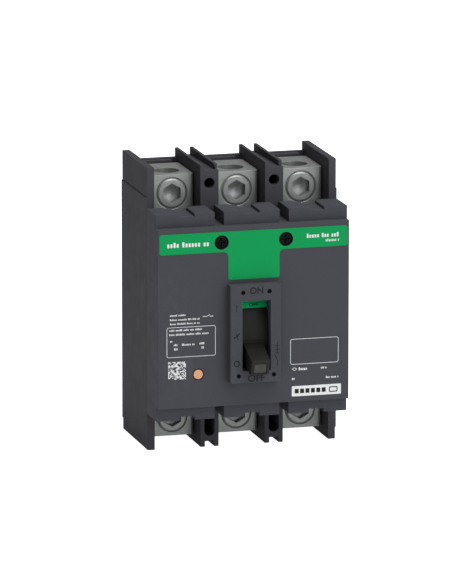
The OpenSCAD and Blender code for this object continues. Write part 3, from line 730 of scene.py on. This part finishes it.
def torsion_coils(centres, width, radius, wire, turns, leg):
    """Torsion springs wound along X, each with two straight legs that stay within its width."""
    p = Pile()
    along, across = Vector((1, 0, 0)), Vector((0, 0, 1))
    for c in centres:
        start = Vector(c) - along * (width / 2 - wire)
        path = coil(start, along, across, radius, turns, (width - 2 * wire) / turns, 24)
        first = path[0] + (path[0] - path[1]).normalized() * leg
        last = path[-1] + (path[-1] - path[-2]).normalized() * leg
        p.tube([first] + path + [last], wire, 8)
    return p


def solids_of(node):
    """Centre and size of each separate solid of a node, in millimetres."""
    mesh = frame["nodes"][node].data
    made = bmesh.new()
    made.from_mesh(mesh)
    bmesh.ops.remove_doubles(made, verts=made.verts, dist=2e-6)
    unseen = set(made.verts)
    found = []
    while unseen:
        group, waiting = [], [unseen.pop()]
        while waiting:
            v = waiting.pop()
            group.append(v.co.copy() / MM)
            for e in v.link_edges:
                other = e.other_vert(v)
                if other in unseen:
                    unseen.discard(other)
                    waiting.append(other)
        low = Vector([min(c[k] for c in group) for k in range(3)])
        high = Vector([max(c[k] for c in group) for k in range(3)])
        found.append(((low + high) / 2, high - low))
    made.free()
    return sorted(found, key=lambda s: tuple(s[0]))


TORSION_SPRINGS = (
    ("contact_springs", 0.42, 2.25, "crossbar"),
    ("trip_bar_spring", 0.45, 5.25, "housing"),
    ("armature_springs", 0.24, 3.25, "housing"),
)
for node, wire, turns, body in TORSION_SPRINGS:
    places = solids_of(node)
    width = places[0][1].x
    radius = places[0][1].z / 2 - wire
    coils = torsion_coils([c for c, _ in places], width, radius, wire, turns, radius * 0.7)
    spring_piece(node.removesuffix("s") + "_coils", coils, body, node)


def button_coil():
    """The compression spring under the trip button, with closed end turns."""
    low, high = (Vector(c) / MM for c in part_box("button_spring"))
    wire = 0.35
    radius = (high.x - low.x) / 2 - wire
    centre = (low + high) / 2
    start, end = high.y - wire, low.y + wire
    turns, steps = 9, 24
    path = []
    for i in range(turns * steps + 1):
        t = i / (turns * steps)
        free = min(1.0, max(0.0, (t * turns - 1) / (turns - 2)))
        y = start + (end - start) * free
        y -= wire * 0.9 * (min(1, t * turns) - min(1, (1 - t) * turns)) * 0.5
        a = math.tau * i / steps
        path.append(Vector((centre.x + radius * math.cos(a), y, centre.z + radius * math.sin(a))))
    p = Pile()
    p.tube(path, wire, 8)
    return p


button_spring = spring_piece("button_spring_coil", button_coil(), "housing", "button_spring")
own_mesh(button_spring)


BRAID_LINE = [(-11.9, -37.2), (-13.4, -35.6), (-14.0, -33.0), (-14.2, -30.2), (-12.8, -28.2), (-11.6, -26.0),
              (-11.8, -23.6), (-12.0, -21.4)]


def smooth_path(points, steps):
    """Catmull-Rom curve through [y, z] points."""
    ends = [points[0]] + points + [points[-1]]
    out = []
    for i in range(1, len(ends) - 2):
        a, b, c, d = (Vector(q) for q in ends[i - 1:i + 3])
        for k in range(steps):
            t = k / steps
            out.append(((2 * b) + (c - a) * t + (2 * a - 5 * b + 4 * c - d) * t ** 2
                        + (3 * b - a - 3 * c + d) * t ** 3) / 2)
    return out + [Vector(points[-1])]


def braid(x):
    """A flat braid: strands that wind both ways round a flattened tube and pass over and under."""
    middle = smooth_path(BRAID_LINE, 8)
    strands, wire, half_wide, half_thick = 9, 0.17, 2.55, 0.5
    windings, over_under = 1.6, 0.14
    ferrule_half, ferrule_radius = 2.9, 0.75
    p = Pile()
    for turn in (1, -1):
        for s in range(strands):
            path = []
            for i, m in enumerate(middle):
                t = i / (len(middle) - 1)
                ahead = (middle[min(i + 1, len(middle) - 1)] - middle[max(i - 1, 0)]).normalized()
                out = Vector((-ahead.y, ahead.x))
                a = turn * math.tau * (t * windings + turn * s / strands)
                weave = over_under * math.cos(strands * a * turn + (0 if turn > 0 else math.pi))
                point = m + out * (half_thick + weave) * math.sin(a)
                path.append(Vector((x + (half_wide + weave) * math.cos(a), point.x, point.y)))
            p.tube(path, wire, 5)
    for end in (middle[0], middle[-1]):
        left, right = (Vector((x + side * ferrule_half, end.x, end.y)) for side in (-1, 1))
        p.tube([left, right], ferrule_radius, 12)
    return p


all_braids = Pile()
for row in (1, 2, 3):
    lug_low, lug_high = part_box(f"load_lug_{row}")
    part = braid((lug_low.x + lug_high.x) / 2 / MM)
    all_braids.add(part.points, part.faces)
braid_mesh = all_braids.mesh("flexible_braid_strands", 60)
braids = place("flexible_braid_strands", braid_mesh, materials["braid_copper"])
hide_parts("flexible_braids")
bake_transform(braids)


# ---------------------------------------------------------------- studio

CAMERA_AIM = Vector((-4.75, -40.0, 4.06)) * MM
CAMERA_AZIMUTH, CAMERA_ELEVATION = -15.27, 12.15
CAMERA_DISTANCE = 3.998
CAMERA_LENS = 423.2
FLOOR_AS_LIGHT = 0.22
WORLD_AS_LIGHT = 0.13


def look_at(thing, target):
    thing.rotation_mode = "QUATERNION"
    thing.rotation_quaternion = (target - thing.location).to_track_quat("-Z", "Y")


def direction(azimuth, elevation):
    """Unit vector from the object towards a viewer at these angles, in degrees."""
    a, e = math.radians(azimuth), math.radians(elevation)
    return Vector((math.sin(a) * math.cos(e), -math.cos(a) * math.cos(e), math.sin(e)))


def make_camera():
    """A long lens 4 m away, a little to the left of the object and a little above it."""
    data = bpy.data.cameras.new("camera")
    data.sensor_width = 36
    data.lens = CAMERA_LENS
    data.clip_start, data.clip_end = 0.1, 20
    camera = bpy.data.objects.new("camera", data)
    camera.location = CAMERA_AIM + direction(CAMERA_AZIMUTH, CAMERA_ELEVATION) * CAMERA_DISTANCE
    look_at(camera, CAMERA_AIM)
    bpy.context.scene.collection.objects.link(camera)
    bpy.context.scene.camera = camera


def soft_light(name, azimuth, elevation, distance, size, watts, colour=(1, 1, 1)):
    """A square lamp aimed at the origin, with its angles in degrees and its sizes in metres."""
    data = bpy.data.lights.new(name, "AREA")
    data.size = size
    data.energy = watts
    data.color = colour
    light = bpy.data.objects.new(name, data)
    light.location = direction(azimuth, elevation) * distance
    look_at(light, Vector((0, 0, 0)))
    bpy.context.scene.collection.objects.link(light)


def make_floor():
    """A round pale floor under the breaker's lower end, white to the camera and dim as a light."""
    mesh = bpy.data.meshes.new("floor")
    made = bmesh.new()
    bmesh.ops.create_circle(made, cap_ends=True, segments=96, radius=6)
    bmesh.ops.translate(made, verts=made.verts, vec=(0, 0, cad_low.z - 0.05 * MM))
    made.to_mesh(mesh)
    made.free()
    s = Shader("floor_paint", (0.93, 0.93, 0.93), 0.9)
    s.bsdf.inputs["Specular IOR Level"].default_value = 0.1
    s.bsdf.inputs["Emission Color"].default_value = (1, 1, 1, 1)
    seen = s.node("ShaderNodeLightPath").outputs["Is Camera Ray"]
    s.link(s.spread(seen, 0, 1, FLOOR_AS_LIGHT, 1.0), s.bsdf.inputs["Emission Strength"])
    s.tint(s.spread(s.noise(60, 3), 0.3, 0.7, 0, 0.3), (0.9, 0.9, 0.9))
    mesh.materials.append(s.material)
    floor = bpy.data.objects.new("floor", mesh)
    bpy.context.scene.collection.objects.link(floor)


def make_world():
    """White to the eye, and dimmer as a light, so that the lamps shape the object."""
    world = bpy.data.worlds.new("studio")
    world.use_nodes = True
    tree = world.node_tree
    seen = tree.nodes["Background"]
    seen.inputs["Color"].default_value = (1, 1, 1, 1)
    seen.inputs["Strength"].default_value = 1.0
    lit = tree.nodes.new("ShaderNodeBackground")
    lit.inputs["Color"].default_value = (1, 1, 1, 1)
    lit.inputs["Strength"].default_value = WORLD_AS_LIGHT
    rays = tree.nodes.new("ShaderNodeLightPath")
    mix = tree.nodes.new("ShaderNodeMixShader")
    tree.links.new(rays.outputs["Is Camera Ray"], mix.inputs[0])
    tree.links.new(lit.outputs[0], mix.inputs[1])
    tree.links.new(seen.outputs[0], mix.inputs[2])
    tree.links.new(mix.outputs[0], tree.nodes["World Output"].inputs["Surface"])
    bpy.context.scene.world = world
    bpy.context.scene.view_settings.view_transform = "Standard"


make_camera()
make_floor()
make_world()
soft_light("overhead", azimuth=22, elevation=74, distance=1.6, size=1.4, watts=27)
soft_light("front", azimuth=28, elevation=22, distance=1.9, size=1.2, watts=12.5, colour=(0.95, 0.97, 1.0))
